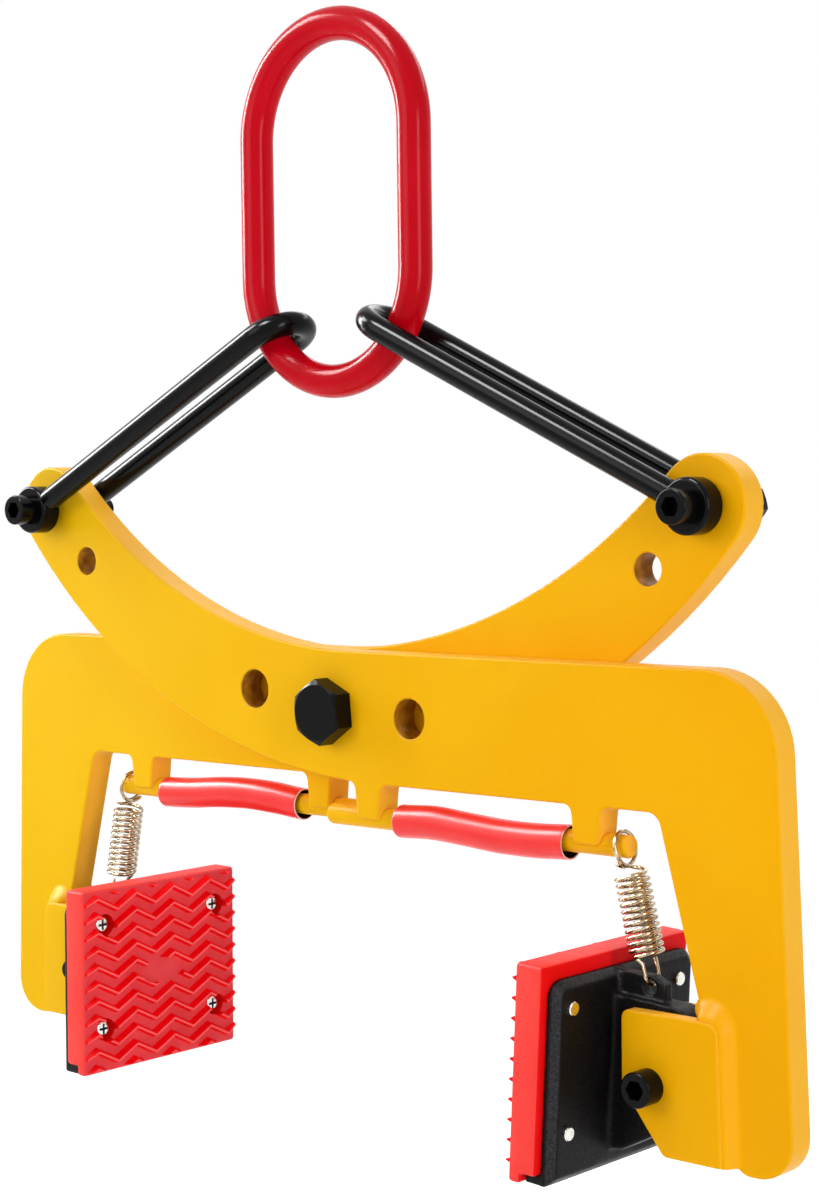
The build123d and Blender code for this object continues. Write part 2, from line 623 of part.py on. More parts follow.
# The ring hangs off the middle plane, so the two links differ; both screw heads are at the front
nodes["front_link"] = link(RING_Y)
nodes["rear_link"] = Rot(0, 0, 180) * link(-RING_Y)
tail = NUT_H + SCREW_TAIL
nodes["front_link_screw"] = cap_screw(EYE_X, EYE_Z, eye_front, eye_back + tail)
nodes["front_link_nut"] = hex_nut(EYE_X, EYE_Z, eye_back, eye_back + NUT_H)
nodes["rear_link_screw"] = Rot(0, 0, 180) * cap_screw(EYE_X, EYE_Z, eye_back, eye_front - tail)
nodes["rear_link_nut"] = Rot(0, 0, 180) * hex_nut(EYE_X, EYE_Z, eye_front, eye_front - NUT_H)

for name, piece in nodes.items():
    export_step(Pos(0, -RING_Y, -HOOK_SEAT_Z) * piece, f"parts/{name}.step")
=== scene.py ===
import json
import math

import bmesh
import bpy
from mathutils import Matrix, Vector, noise
from mathutils.geometry import interpolate_bezier

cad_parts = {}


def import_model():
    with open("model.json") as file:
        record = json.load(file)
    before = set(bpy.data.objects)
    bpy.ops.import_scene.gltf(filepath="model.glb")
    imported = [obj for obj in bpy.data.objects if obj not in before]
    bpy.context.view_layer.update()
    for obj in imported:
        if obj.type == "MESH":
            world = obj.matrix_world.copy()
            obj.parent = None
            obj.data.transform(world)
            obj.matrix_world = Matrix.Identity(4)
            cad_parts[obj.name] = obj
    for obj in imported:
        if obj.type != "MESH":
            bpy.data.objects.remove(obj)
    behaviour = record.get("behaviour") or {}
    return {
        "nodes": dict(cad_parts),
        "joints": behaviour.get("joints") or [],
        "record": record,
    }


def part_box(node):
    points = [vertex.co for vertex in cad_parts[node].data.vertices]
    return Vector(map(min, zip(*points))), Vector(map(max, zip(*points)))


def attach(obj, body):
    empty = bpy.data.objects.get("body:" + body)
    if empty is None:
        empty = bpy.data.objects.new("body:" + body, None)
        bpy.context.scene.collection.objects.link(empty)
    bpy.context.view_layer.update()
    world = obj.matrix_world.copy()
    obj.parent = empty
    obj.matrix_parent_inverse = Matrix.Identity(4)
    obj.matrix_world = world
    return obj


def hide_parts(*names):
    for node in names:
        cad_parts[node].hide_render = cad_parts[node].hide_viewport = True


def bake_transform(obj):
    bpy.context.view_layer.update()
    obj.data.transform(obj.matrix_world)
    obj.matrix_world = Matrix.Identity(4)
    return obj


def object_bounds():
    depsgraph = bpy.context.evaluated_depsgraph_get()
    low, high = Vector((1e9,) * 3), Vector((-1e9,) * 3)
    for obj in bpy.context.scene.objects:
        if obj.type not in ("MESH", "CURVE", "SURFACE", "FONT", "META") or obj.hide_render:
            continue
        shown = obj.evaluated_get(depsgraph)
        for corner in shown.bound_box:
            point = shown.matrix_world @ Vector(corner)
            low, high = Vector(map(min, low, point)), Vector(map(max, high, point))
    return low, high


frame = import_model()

cad_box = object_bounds()
MM = 0.001

# Places in the frame: new pieces are drawn on the front jaw, with the jaw pivot at the origin
JOINT_AT = {joint["name"]: Vector(joint["pos_m"]) for joint in frame["joints"]}
PIVOT = JOINT_AT["jaw_pivot"]
SIDES = ("front", "rear")
TO_PIVOT = Matrix.Translation(PIVOT)
JAW = {"front": TO_PIVOT, "rear": TO_PIVOT @ Matrix.Rotation(math.pi, 4, "Z")}
PLATE_Y = -5.2 * MM
PLATE_T = 10.0 * MM

# Open holes of the front plate in millimetres: X and Z from the pivot, and radius
PLATE_HOLES = ((-35.3, 5.7, 6.5), (34.6, -0.7, 6.5), (-121.0, 47.8, 5.0))

# Where the darker bore colour, bare steel and painted shade, gives way to paint, measured out from its
# radius
BORE_EDGE = (0.1 * MM, 0.3 * MM)

# Camera
IMAGE_HEIGHT = 1200
FOCAL_PIXELS = 2350.0
SENSOR_MM = 36.0
CAMERA_CLIP = 0.01
CAMERA_AZIMUTH = math.radians(41.94)
CAMERA_ELEVATION = math.radians(2.78)
CAMERA_ROLL = math.radians(-0.75)
CAMERA_DISTANCE = 0.7583
CAMERA_TARGET = PIVOT + Vector((26.6, 0.0, 36.6)) * MM

# Meshes
SHARP_ANGLE = math.radians(32)
MERGE_DISTANCE = 1e-7
OVERSHOOT = 1.0 * MM
ROD_SIDES = 40

# Sleeves: a rise is the height of the tube's middle line above its rod in millimetres, and the
# rises run from the inner end to the outer end
SLEEVE_WALL = 0.5 * MM
SLEEVE_RISE = {
    "front": (-0.1, 0.45, -0.4, -1.3, -1.38, -0.7),
    "rear": (-0.2, 0.9, 1.38, 0.8, -0.5, -1.2),
}
SLEEVE_SIDES = 48
SLEEVE_STEPS = 60
SLEEVE_SWELL = 0.12 * MM
SWELL_PER_METRE = 60
SWELL_SEED = 7.0
RIM_SOFT = 0.3

# Springs: the tip's rise and width are shares of the wire's radius, and the bend's start and end
# are shares of the spring's length
WIRE_R = 0.65 * MM
WIRE_SIDES = 12
WIRE_TIP_RISE = 0.4
WIRE_TIP_WIDTH = 0.6
COIL_R = 4.8 * MM
COIL_TURNS = 12.25
COIL_LOW = {"front": 8.8 * MM, "rear": 6.6 * MM}
NECK_TOP = 2.8 * MM
NECK_LOW = 2.8 * MM
NECK_SWAY = 2.2 * MM
LOOP_R = 5.2 * MM
LOOP_SWEEP = math.radians(400)
LOOP_ASIDE = 2.0 * MM
LOOP_ASIDE_POWER = 1.5
HOOK_R = 3.4 * MM
HOOK_GAP = 1.5 * MM
SPRING_TOP = Vector((115.2 * MM, PLATE_Y, -29.95 * MM))
SPRING_SEAT = Vector((124.4 * MM, PLATE_Y, -74.7 * MM))
ARC_STEPS = 48
TURN_STEPS = 36

# Rubber pads, drawn upright
PAD_FACE_X = 99.75 * MM
PAD_BACK_X = 109.45 * MM
PAD_Y = -3.4 * MM
PAD_W = 73.0 * MM
PAD_TOP = -67.1 * MM
PAD_BOTTOM = -132.5 * MM
PAD_NOTCH_X = 5.5 * MM
PAD_NOTCH_H = 3.2 * MM
PAD_ROUND = 1.2 * MM
PAD_ROUND_STEPS = 4
PAD_FACING = 0.7
RIB_FIRST = 4.75 * MM
RIB_PITCH = 6.05 * MM
RIB_ROWS = range(-1, 11)
RIB_PERIODS = 4
RIB_SWING = 4.6 * MM
RIB_FOOT_W = 2.8 * MM
RIB_CREST_W = 0.8 * MM
RIB_CREST_DROP = 0.25 * MM
RIB_CREST_FACING = 0.8
RIB_H = 2.4 * MM
RIB_END = 0.55
RIB_ROOT = 0.4 * MM
RIB_ROUND = 0.12 * MM
RIB_ROUND_STEPS = 2
RECESS_R = 4.0 * MM
RECESS_DEPTH = 3.6 * MM
RECESS_MARGIN = 1.02
SHANK_R = 2.05 * MM
BARE_W = 22.0 * MM
BARE_H = 9.0 * MM

# Pad screws: their ends are upset to discs
SCREW_Y = 26.5 * MM
SCREW_Z = (-79.9 * MM, -117.2 * MM)
CROSS_REACH = 1.95 * MM
CROSS_DEPTH = (0.1 * MM, 1.75 * MM)
TIP_R = 2.15 * MM
TIP_EDGE = 0.25 * MM
TIP_RIM_SHARE = 0.75
TIP_LENGTH_SHARE = 0.4

# Fork cheeks: a plate and the weld bead along its upper and outer edges
CHEEK_X = (121.3 * MM, 136.1 * MM, 155.0 * MM, 156.2 * MM)
CHEEK_Z = (-80.6 * MM, -103.3 * MM, -122.2 * MM)
CHEEK_T = 5.0 * MM
CHEEK_CORNER_R = 3.0 * MM
CHEEK_ROUND = 0.7 * MM
CHEEK_ROUND_STEPS = 4
CORNER_STEPS = 6
WELD_CORNER_R = 4.5 * MM
WELD_START_X = 149.0 * MM
WELD_START_ANGLE = 190
WELD_TOP_ANGLE = 90
WELD_SIDE_ANGLE = 0
WELD_START_W = 3.4 * MM
WELD_TOP_W = 6.8 * MM
WELD_SIDE_W = 4.4 * MM
WELD_CREASE = 0.8 * MM
WELD_LAP = 1.2 * MM
WELD_SINK = 0.1 * MM
WELD_STEPS = 8
WELD_CORNER_STEPS = 12
WELD_SECTION_STEPS = 10

# Cast backings: places on the upright pad, but for the rim's, which are in the frame
CAST_BACK_X = 113.45 * MM
CAST_RIM_Y = (20.0 * MM, 24.0 * MM)
CAST_RIM_Z = (PIVOT.z - 77.0 * MM, PIVOT.z - 75.0 * MM)
CAST_VOXEL = 0.45 * MM
CAST_FILL_R = 2.4 * MM
CAST_EDGE_Y = (25.6 * MM, 31.2 * MM)
CAST_LAP = 0.9 * MM
CAST_SOFTEN = 8
SOFTEN_SHARE = 0.5
TONGUE_T = 9.3 * MM
ROOT_REACH = 6.0 * MM
ROOT_GAIN = 2
ROOT_SOFTEN = 60

# Light and floor
AMBIENT = 0.45
BACKGROUND = 1.0
FLOOR_DROP = 0.28
FLOOR_HALF = 12.0
FLOOR_GREYS = (0.84, 0.86)
FLOOR_GLOW = (0.45, 0.62)
FLOOR_GLOW_REACH = (0.7, 2.5)


# Measures


def between(start, end, share):
    """Value at a share of the way from one value to another."""
    return start + (end - start) * share


def shares(steps):
    """Even shares from 0 to 1."""
    return [i / steps for i in range(steps + 1)]


def ease(t):
    """Share that starts and ends gently."""
    return t * t * (3 - 2 * t)


# Materials

BLANK = (0.0, 0.0, 0.0, 1.0)
WHITE = (1.0, 1.0, 1.0, 1.0)


def srgb(red, green, blue):
    """Linear colour of a written screen colour."""
    parts = [c / 255 for c in (red, green, blue)]
    return [c / 12.92 if c <= 0.04045 else ((c + 0.055) / 1.055) ** 2.4 for c in parts] + [1.0]


class Nodes:
    """A material's node tree with short calls for what every finish here needs."""

    def __init__(self, name):
        self.material = bpy.data.materials.new(name)
        self.material.use_nodes = True
        self.tree = self.material.node_tree
        self.tree.nodes.clear()
        self.shader = self.add("ShaderNodeBsdfPrincipled")
        output = self.add("ShaderNodeOutputMaterial")
        self.link(self.shader.outputs["BSDF"], output.inputs["Surface"])
        coordinates = self.add("ShaderNodeTexCoord")
        self.place = coordinates.outputs["Object"]
        self.normal = coordinates.outputs["Normal"]

    def add(self, kind, **settings):
        """New node of a kind, with its settings."""
        node = self.tree.nodes.new(kind)
        for key, value in settings.items():
            setattr(node, key, value)
        return node

    def link(self, source, target):
        """Link from a socket to a socket."""
        self.tree.links.new(source, target)

    def put(self, **values):
        """Sets inputs of the shader to plain values."""
        for key, value in values.items():
            self.shader.inputs[key.replace("_", " ")].default_value = value

    def feed(self, **sources):
        """Links sockets to inputs of the shader."""
        for key, source in sources.items():
            self.link(source, self.shader.inputs[key.replace("_", " ")])

    def noise(self, scale, detail=4.0, rough=0.5):
        """Noise with about so many cells to the metre."""
        node = self.add("ShaderNodeTexNoise")
        node.inputs["Scale"].default_value = scale
        node.inputs["Detail"].default_value = detail
        node.inputs["Roughness"].default_value = rough
        self.link(self.place, node.inputs["Vector"])
        return node.outputs["Fac"]

    def ramp(self, factor, *stops):
        """Colours at the stops of a factor."""
        node = self.add("ShaderNodeValToRGB")
        elements = node.color_ramp.elements
        while len(elements) < len(stops):
            elements.new(0.5)
        for element, (position, colour) in zip(elements, stops):
            element.position = position
            element.color = colour
        self.link(factor, node.inputs["Fac"])
        return node.outputs["Color"]

    def spread(self, factor, low, high, start=0.3, end=0.7):
        """Values from low to high while a factor goes from start to end."""
        node = self.add("ShaderNodeMapRange")
        node.inputs["From Min"].default_value = start
        node.inputs["From Max"].default_value = end
        node.inputs["To Min"].default_value = low
        node.inputs["To Max"].default_value = high
        self.link(factor, node.inputs["Value"])
        return node.outputs["Result"]

    def mix(self, factor, first, second):
        """The first colour where the factor is 0 and the second where it is 1."""
        node = self.add("ShaderNodeMix", data_type="RGBA")
        colours = [s for s in node.inputs if s.type == "RGBA"]
        self.link(factor, node.inputs["Factor"])
        self.link(first, colours[0])
        self.link(second, colours[1])
        return next(s for s in node.outputs if s.type == "RGBA")

    def reckon(self, operation, *values):
        """Result of a calculation with values."""
        node = self.add("ShaderNodeMath", operation=operation)
        for value, socket in zip(values, node.inputs):
            self.link(value, socket)
        return node.outputs[0]

    def part_of(self, vector, axis):
        """One part of a vector."""
        node = self.add("ShaderNodeSeparateXYZ")
        self.link(vector, node.inputs[0])
        return node.outputs[axis]

    def along(self, axis):
        """Place along an axis."""
        return self.part_of(self.place, axis)

    def facing(self, axis):
        """How far the surface faces along an axis, either way."""
        return self.reckon("ABSOLUTE", self.part_of(self.normal, axis))

    def bump(self, *layers):
        """Layers of (height, depth in metres), from the coarsest to the finest."""
        normal = None
        for height, depth in layers:
            node = self.add("ShaderNodeBump")
            node.inputs["Distance"].default_value = depth
            self.link(height, node.inputs["Height"])
            if normal:
                self.link(normal, node.inputs["Normal"])
            normal = node.outputs["Normal"]
        self.feed(Normal=normal)


def bore_walls(n):
    """Factor that is 1 within the radius of an open hole of either plate."""
    across = n.add("ShaderNodeCombineXYZ")
    for axis in "XZ":
        n.link(n.along(axis), across.inputs[axis])
    inside = None
    for way in (1, -1):
        for x, z, radius in PLATE_HOLES:
            away = n.add("ShaderNodeVectorMath", operation="DISTANCE")
            away.inputs[1].default_value = (PIVOT.x + way * x * MM, 0, PIVOT.z + z * MM)
            n.link(across.outputs[0], away.inputs[0])
            edge = [radius * MM + reach for reach in BORE_EDGE]
            hole = n.spread(away.outputs["Value"], 1.0, 0.0, *edge)
            inside = n.reckon("MAXIMUM", inside, hole) if inside else hole
    return inside


def yellow_paint():
    """Sprayed paint with painted light in it: lemon towards −X and more orange towards +X, paler where cut
    edges catch the light, and darker brown bore walls that are bare steel and painted shade.
    """
    n = Nodes("yellow_paint")
    drift = n.noise(14.0, 3.0)
    # Painted light and shade: lemon is the lit end, orange the shaded end.
    lit_lemon = n.ramp(drift, (0.35, srgb(240, 188, 12)), (0.65, srgb(243, 194, 20)))
    shaded_orange = n.ramp(drift, (0.35, srgb(241, 169, 0)), (0.65, srgb(244, 176, 2)))
    # Painted light: cut edges, the faces that don't face along Y, get a paler colour as if they catch the
    # light.
    edge = n.ramp(drift, (0.35, srgb(246, 180, 48)), (0.65, srgb(249, 187, 56)))
    # Bare steel and painted shade: darker brown on the bore walls of the open holes.
    bore = n.ramp(n.noise(300.0, 5.0), (0.3, srgb(136, 82, 8)), (0.7, srgb(196, 136, 38)))
    reach = (cad_box[1].x - cad_box[0].x) / 2
    flat = n.mix(n.spread(n.along("X"), 0.0, 1.0, -reach, reach), lit_lemon, shaded_orange)
    side = n.mix(bore_walls(n), edge, bore)
    n.feed(Base_Color=n.mix(n.spread(n.facing("Y"), 0.0, 1.0, 0.15, 0.85), side, flat))
    n.feed(Roughness=n.spread(n.noise(55.0, 5.0), 0.3, 0.38))
    n.put(Specular_IOR_Level=0.05)
    n.bump((n.noise(420.0, 2.0), 0.03 * MM), (n.noise(1700.0, 2.0), 0.01 * MM))
    return n.material


def red_paint():
    """Deep gloss paint of the lifting ring."""
    n = Nodes("red_paint")
    n.feed(Base_Color=n.ramp(n.noise(18.0, 3.0), (0.35, srgb(190, 0, 18)), (0.65, srgb(205, 4, 28))))
    n.feed(Roughness=n.spread(n.noise(60.0, 2.0), 0.18, 0.2))
    n.put(Specular_IOR_Level=0.08)
    n.bump((n.noise(220.0, 2.0), 0.003 * MM), (n.noise(1700.0, 2.0), 0.0004 * MM))
    return n.material


def black_steel():
    """Black enamel of the links, bolts and nuts."""
    n = Nodes("black_steel")
    n.feed(Base_Color=n.ramp(n.noise(60.0, 5.0), (0.3, srgb(5, 5, 5)), (0.7, srgb(11, 10, 11))))
    n.feed(Roughness=n.spread(n.noise(110.0, 2.0), 0.165, 0.185))
    n.put(Specular_IOR_Level=0.1)
    n.bump((n.noise(200.0, 2.0), 0.002 * MM), (n.noise(1400.0, 2.0), 0.0003 * MM))
    return n.material


def black_cast():
    """Grainy black coat of the cast backings, with painted sheen that makes the outer bevels a little
    greyer.
    """
    n = Nodes("black_cast")
    grain = n.noise(1300.0, 3.0, 0.6)
    coat = n.ramp(grain, (0.35, srgb(7, 6, 6)), (0.7, srgb(24, 22, 23)))
    bevel_sheen = n.ramp(grain, (0.35, srgb(28, 28, 30)), (0.7, srgb(58, 58, 62)))
    # Painted sheen: the outer bevels, picked by how they face and by where the rim lies, get a greyer coat.
    bevel = n.ramp(n.facing("X"), (0.35, BLANK), (0.65, WHITE), (0.8, WHITE), (0.95, BLANK))
    rim_side = n.spread(n.reckon("ABSOLUTE", n.along("Y")), 0.0, 1.0, *CAST_RIM_Y)
    rim_top = n.spread(n.along("Z"), 0.0, 1.0, *CAST_RIM_Z)
    rim = n.reckon("MAXIMUM", rim_side, rim_top)
    n.feed(Base_Color=n.mix(n.reckon("MULTIPLY", bevel, rim), coat, bevel_sheen))
    n.feed(Roughness=n.spread(n.noise(900.0, 4.0), 0.36, 0.5))
    n.put(Specular_IOR_Level=0.1)
    n.bump((n.noise(220.0, 4.0), 0.08 * MM), (grain, 0.1 * MM))
    return n.material


def rubber(name, dark, light, rough, gloss=0.3, grain=1.0):
    """Rubber between two tones, with a skin that is smoother the less grain it has."""
    n = Nodes(name)
    n.feed(Base_Color=n.ramp(n.noise(90.0, 5.0), (0.3, dark), (0.7, light)))
    n.feed(Roughness=n.spread(n.noise(260.0, 5.0), rough - 0.06 * grain, rough + 0.08 * grain))
    n.put(Specular_IOR_Level=gloss)
    n.bump((n.noise(500.0, 3.0), 0.02 * MM * grain), (n.noise(2600.0, 3.0), 0.008 * MM * grain))
    return n.material


def zinc(name, dark, light, rough):
    """Plated steel between two tones."""
    n = Nodes(name)
    n.feed(Base_Color=n.ramp(n.noise(420.0, 5.0, 0.6), (0.3, dark), (0.7, light)))
    n.feed(Roughness=n.spread(n.noise(1100.0, 4.0), rough - 0.06, rough + 0.1))
    n.put(Metallic=1.0)
    n.bump((n.noise(1500.0, 4.0), 0.02 * MM))
    return n.material


YELLOW = yellow_paint()
RED = red_paint()
BLACK = black_steel()
CAST = black_cast()
# Lit and shaded copies of one red rubber: painted sheen on the grip face, painted light on the sides,
# painted shade on the back and in the screw recesses.
PAD_FACE_SHEEN = rubber("pad_face_painted_sheen", srgb(226, 62, 68), srgb(236, 74, 80), 0.6, 0.1)
PAD_SIDE_LIT = rubber("pad_side_painted_light", srgb(250, 60, 54), srgb(254, 68, 60), 0.5, 0.15)
PAD_BACK_SHADE = rubber("pad_back_painted_shade", srgb(226, 3, 8), srgb(236, 6, 12), 0.5, 0.1)
# Painted highlight on the rib crests and painted shade on the rib flanks, copies of the same rubber.
PAD_CREST_HIGHLIGHT = rubber("pad_crest_painted_highlight", srgb(252, 84, 84), srgb(254, 96, 94), 0.5, 0.2)
PAD_FLANK_SHADE = rubber("pad_flank_painted_shade", srgb(246, 4, 16), srgb(252, 10, 24), 0.5, 0.05)
SLEEVE = rubber("sleeve_rubber", srgb(238, 42, 40), srgb(245, 50, 48), 0.3, 0.3, 0.1)
# Painted highlight on the sleeves' cut ends and painted shade inside them, copies of the sleeve rubber.
SLEEVE_RIM_HIGHLIGHT = rubber("sleeve_rim_painted_highlight", srgb(236, 190, 184), srgb(246, 212, 206), 0.5)
SLEEVE_BORE_SHADE = rubber("sleeve_bore_painted_shade", srgb(34, 6, 8), srgb(46, 8, 10), 0.6, 0.1)
SPRING = zinc("spring_wire", srgb(128, 102, 72), srgb(216, 200, 170), 0.14)
SCREWS = zinc("screw_zinc", srgb(214, 211, 204), srgb(244, 243, 238), 0.2)
# Painted shade in the screws' cross recesses: a darker zinc.
SHADED_CROSS = zinc("screw_cross_painted_shade", srgb(70, 66, 62), srgb(140, 134, 126), 0.35)


def finish_of(node):
    """Finish of a piece that keeps the shape of its solid."""
    if node == "lifting_ring":
        return RED
    return YELLOW if "plate" in node or "rod" in node else BLACK


for node, part in frame["nodes"].items():
    part.data.materials.clear()
    part.data.materials.append(finish_of(node))


# Mesh helpers


def new_piece(name, bm, materials):
    """Object with a drawn mesh and its materials."""
    mesh = bpy.data.meshes.new(name)
    bm.to_mesh(mesh)
    bm.free()
    for material in materials:
        mesh.materials.append(material)
    mesh.shade_smooth()
    piece = bpy.data.objects.new(name, mesh)
    bpy.context.scene.collection.objects.link(piece)
    return piece


def apply_modifiers(piece):
    """Gives a piece the mesh that its modifiers make."""
    graph = bpy.context.evaluated_depsgraph_get()
    mesh = bpy.data.meshes.new_from_object(piece.evaluated_get(graph))
    old = piece.data
    piece.modifiers.clear()
    piece.data = mesh
    bpy.data.meshes.remove(old)


def round_edges(piece, width, segments):
    """Rounds the sharp edges of a piece."""
    bevel = piece.modifiers.new("round", "BEVEL")
    bevel.width = width
    bevel.segments = segments
    bevel.limit_method = "ANGLE"
    apply_modifiers(piece)


def seat(piece, place, body):
    """Moves a drawn piece to its place in the frame, on the body that it goes with."""
    piece.data.transform(place)
    piece.data.shade_smooth()
    piece.data.set_sharp_from_angle(angle=SHARP_ANGLE)
    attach(piece, body)


def loft(bm, loops, close_path=False):
    """Joins loops of equally many points to one skin and closes its ends, unless the path itself closes."""
    rings = [[bm.verts.new(p) for p in loop] for loop in loops]
    pairs = list(zip(rings, rings[1:]))
    if close_path:
        pairs.append((rings[-1], rings[0]))
    for first, second in pairs:
        for i in range(len(first)):
            j = (i + 1) % len(first)
            bm.faces.new((first[i], first[j], second[j], second[i]))
    if not close_path:
        bm.faces.new(rings[0])
        bm.faces.new(rings[-1])


def add_mesh(bm, other):
    """Adds another mesh to a mesh and frees it."""
    mesh = bpy.data.meshes.new("other")
    other.to_mesh(mesh)
    other.free()
    bm.from_mesh(mesh)
    bpy.data.meshes.remove(mesh)


def tidy_skin(bm):
    """Joins points that coincide and turns all faces outward."""
    bmesh.ops.remove_doubles(bm, verts=bm.verts, dist=MERGE_DISTANCE)
    bmesh.ops.dissolve_degenerate(bm, edges=bm.edges, dist=MERGE_DISTANCE)
    bmesh.ops.recalc_face_normals(bm, faces=bm.faces)


def circle(middle, first, second, radius, sides):
    """Points of a circle in the plane of two unit vectors."""
    angles = [2 * math.pi * i / sides for i in range(sides)]
    return [middle + (first * math.cos(a) + second * math.sin(a)) * radius for a in angles]


def wire(points, radius, sides):
    """Round wire along a dense path, with slightly domed ends."""
    bm = bmesh.new()
    normal = Vector((1, 0, 0))
    loops = []
    last = len(points) - 1
    for k, point in enumerate(points):
        along = (points[min(k + 1, last)] - points[max(k - 1, 0)]).normalized()
        normal = (normal - along * normal.dot(along)).normalized()
        across = along.cross(normal)
        loops.append(circle(point, normal, across, radius, sides))
        if k in (0, last):
            way = -1 if k == 0 else 1
            top = point + along * way * radius * WIRE_TIP_RISE
            tip = circle(top, normal, across, radius * WIRE_TIP_WIDTH, sides)
            loops.insert(len(loops) if k else 0, tip)
    loft(bm, loops)
    tidy_skin(bm)
    return bm


# Sleeves

OUTSIDE, RIM, BORE = range(3)


def sleeve_rise(side, t):
    """Height of the sleeve's middle line above its rod, smooth through the values along its length."""
    values = SLEEVE_RISE[side]
    place = t * (len(values) - 1)
    k = min(int(place), len(values) - 2)
    u = place - k
    a, b, c, d = (values[max(0, min(i, len(values) - 1))] for i in range(k - 1, k + 3))
    return MM * (b + 0.5 * u * (c - a + u * (2 * a - 5 * b + 4 * c - d + u * (3 * (b - c) + d - a))))


def sleeve(side):
    """Loose rubber tube that lies in waves on its stop rod, with a painted highlight on its cut ends and
    painted shade on its bore.
    """
    node = f"{side}_stop_sleeve"
    low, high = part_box(node)
    outer = (high.z - low.z) / 2
    inner = outer - SLEEVE_WALL
    edge = SLEEVE_WALL / 2
    soft = edge * RIM_SOFT
    near, far = sorted(abs(x) for x in (low.x, high.x))
    axis_z = (low.z + high.z) / 2 - PIVOT.z
    spans = [between(near + edge, far - edge, t) for t in shares(SLEEVE_STEPS)]
    swell = [SLEEVE_SWELL * noise.noise(Vector((x * SWELL_PER_METRE, 0.0, SWELL_SEED))) for x in spans]
    profile = [(x, outer + s, OUTSIDE) for x, s in zip(spans, swell)]
    profile += [(far - soft, outer - soft, RIM), (far, outer - edge, RIM), (far - soft, inner + soft, RIM)]
    profile += [(x, inner + s, BORE) for x, s in reversed(list(zip(spans, swell)))]
    profile += [(near + soft, inner + soft, RIM), (near, outer - edge, RIM)]
    profile += [(near + soft, outer - soft, RIM)]
    loops = []
    for x, radius, _ in profile:
        rise = sleeve_rise(side, (x - near) / (far - near))
        middle = Vector((x, PLATE_Y, axis_z + rise))
        loops.append(circle(middle, Vector((0, 1, 0)), Vector((0, 0, 1)), radius, SLEEVE_SIDES))
    bm = bmesh.new()
    loft(bm, loops, close_path=True)
    # Painted highlight on the cut ends and painted shade on the bore.
    for k, face in enumerate(bm.faces):
        face.material_index = profile[k // SLEEVE_SIDES][-1]
    bmesh.ops.recalc_face_normals(bm, faces=bm.faces)
    piece = new_piece(f"{side}_soft_sleeve", bm, [SLEEVE, SLEEVE_RIM_HIGHLIGHT, SLEEVE_BORE_SHADE])
    seat(piece, JAW[side], f"{side}_jaw")
    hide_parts(node)


# Springs


def pad_place(side):
    """Place of a pad that is drawn upright: it leans on its bolt as its grip face does."""
    axis = next(m["axis"] for m in frame["record"]["mounts"] if m["name"] == f"{side}_grip_face")
    lean = math.atan2(axis[2], abs(axis[0]))
    bolt = JAW[side].inverted() @ JOINT_AT[f"{side}_pad_tilt"]
    return JAW[side] @ Matrix.Translation(bolt) @ Matrix.Rotation(lean, 4, "Y") @ Matrix.Translation(-bolt)


def spring_path(length, coil_low):
    """Wire from its free end below the rod, round the rod, down the coil and through the lug."""
    points = []
    for t in shares(ARC_STEPS):
        a = -math.pi / 2 - LOOP_SWEEP * (1 - t)
        aside = LOOP_ASIDE * max(0.0, 1 - 2 * t) ** LOOP_ASIDE_POWER
        points.append(Vector((-aside, LOOP_R * math.cos(a), LOOP_R * (math.sin(a) - 1))))
    neck = -2 * LOOP_R
    top = neck - NECK_TOP
    low = coil_low - length
    half = COIL_R / 2
    for t in shares(TURN_STEPS // 2)[1:-1]:
        a = math.pi * t
        points.append(Vector((half * (1 - math.cos(a)), half * math.sin(a), between(neck, top, t))))
    for t in shares(int(COIL_TURNS * TURN_STEPS)):
        a = 2 * math.pi * COIL_TURNS * t
        points.append(Vector((COIL_R * math.cos(a), -COIL_R * math.sin(a), between(top, low, t))))
    start = points[-1]
    end = Vector((0, -HOOK_R, low - NECK_LOW))
    sway = start - Vector((NECK_SWAY, 0, 0))
    points += interpolate_bezier(start, sway, end + Vector((0, 0, NECK_LOW / 2)), end, TURN_STEPS // 2)[1:]
    bend_z = HOOK_R - length
    for t in shares(ARC_STEPS):
        a = math.pi * (1 + t)
        points.append(Vector((0, HOOK_R * math.cos(a), bend_z + HOOK_R * math.sin(a))))
    points.append(Vector((0, HOOK_R, low - HOOK_GAP)))
    return points


def spring(side):
    """Tension spring from the stop rod to the pad's lug, drawn for the pad at rest."""
    jaw = JAW[side]
    low_end = jaw.inverted() @ pad_place(side) @ SPRING_SEAT
    reach = low_end - SPRING_TOP
    lean = math.atan2(reach.x, -reach.z)
    place = Matrix.Translation(SPRING_TOP) @ Matrix.Rotation(-lean, 4, "Y")
    path = spring_path(reach.length, COIL_LOW[side])
    piece = new_piece(f"{side}_wire_spring", wire(path, WIRE_R, WIRE_SIDES), [SPRING])
    piece.data.transform(jaw @ place)
    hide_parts(f"{side}_pad_spring")
    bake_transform(piece)


# Rubber pads

FACE, SIDE, BACK = range(3)
FLANK, CREST = range(2)


def block_mesh(low, high):
    """Block between two corners."""
    bm = bmesh.new()
    bmesh.ops.create_cube(bm, size=1.0)
    low, high = Vector(low), Vector(high)
    bm.transform(Matrix.Translation((low + high) / 2) @ Matrix.Diagonal((*(high - low), 1.0)))
    return bm


def rod_mesh(radius, x0, x1, y, z):
    """Round rod along X."""
    bm = bmesh.new()
    bmesh.ops.create_cone(
        bm, cap_ends=True, segments=ROD_SIDES, radius1=radius, radius2=radius, depth=x1 - x0
    )
    bm.transform(Matrix.Translation(((x0 + x1) / 2, y, z)) @ Matrix.Rotation(math.pi / 2, 4, "Y"))
    return bm


